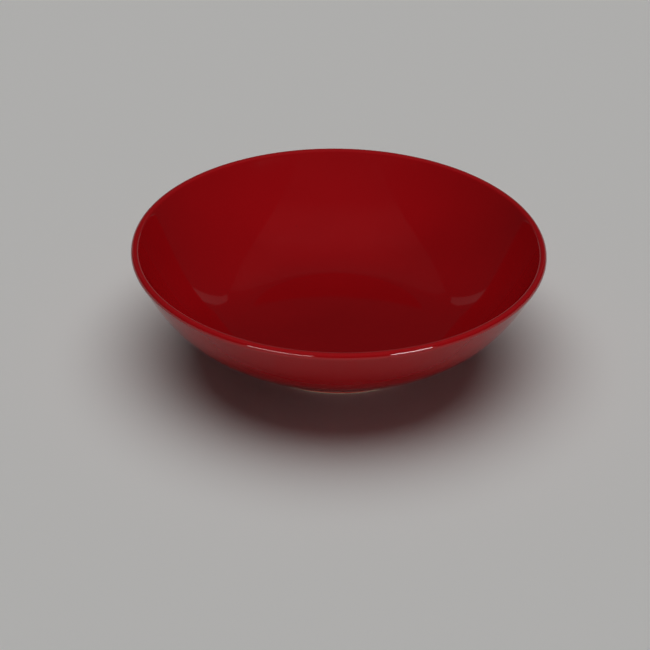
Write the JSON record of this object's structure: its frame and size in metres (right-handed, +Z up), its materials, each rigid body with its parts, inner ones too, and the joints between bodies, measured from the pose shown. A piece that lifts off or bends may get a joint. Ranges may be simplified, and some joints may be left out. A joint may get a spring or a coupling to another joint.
{
  "type": "deep plate",
  "caption": "Deep round ceramic plate of coupe shape with a smooth rising wall, a rounded lip, a gloss glaze inside and out, and a foot ring with a bare standing face.",
  "frame": {"origin": "centre of the foot ring, on the surface that the plate stands on", "axes": "+Z up along the plate's axis; +X and +Y level, and alike because the plate is round"},
  "size_m": [0.2, 0.2, 0.053],
  "materials": {
    "bare_clay": "fired clay, unglazed and matt, ground smooth on the standing face",
    "red_glaze": "opaque deep red glaze, full gloss"
  },
  "bodies": {
    "root": {"clay_body": "bare_clay", "glaze_coat": "red_glaze", "foot_well_glaze": "red_glaze"}
  },
  "joints": []
}
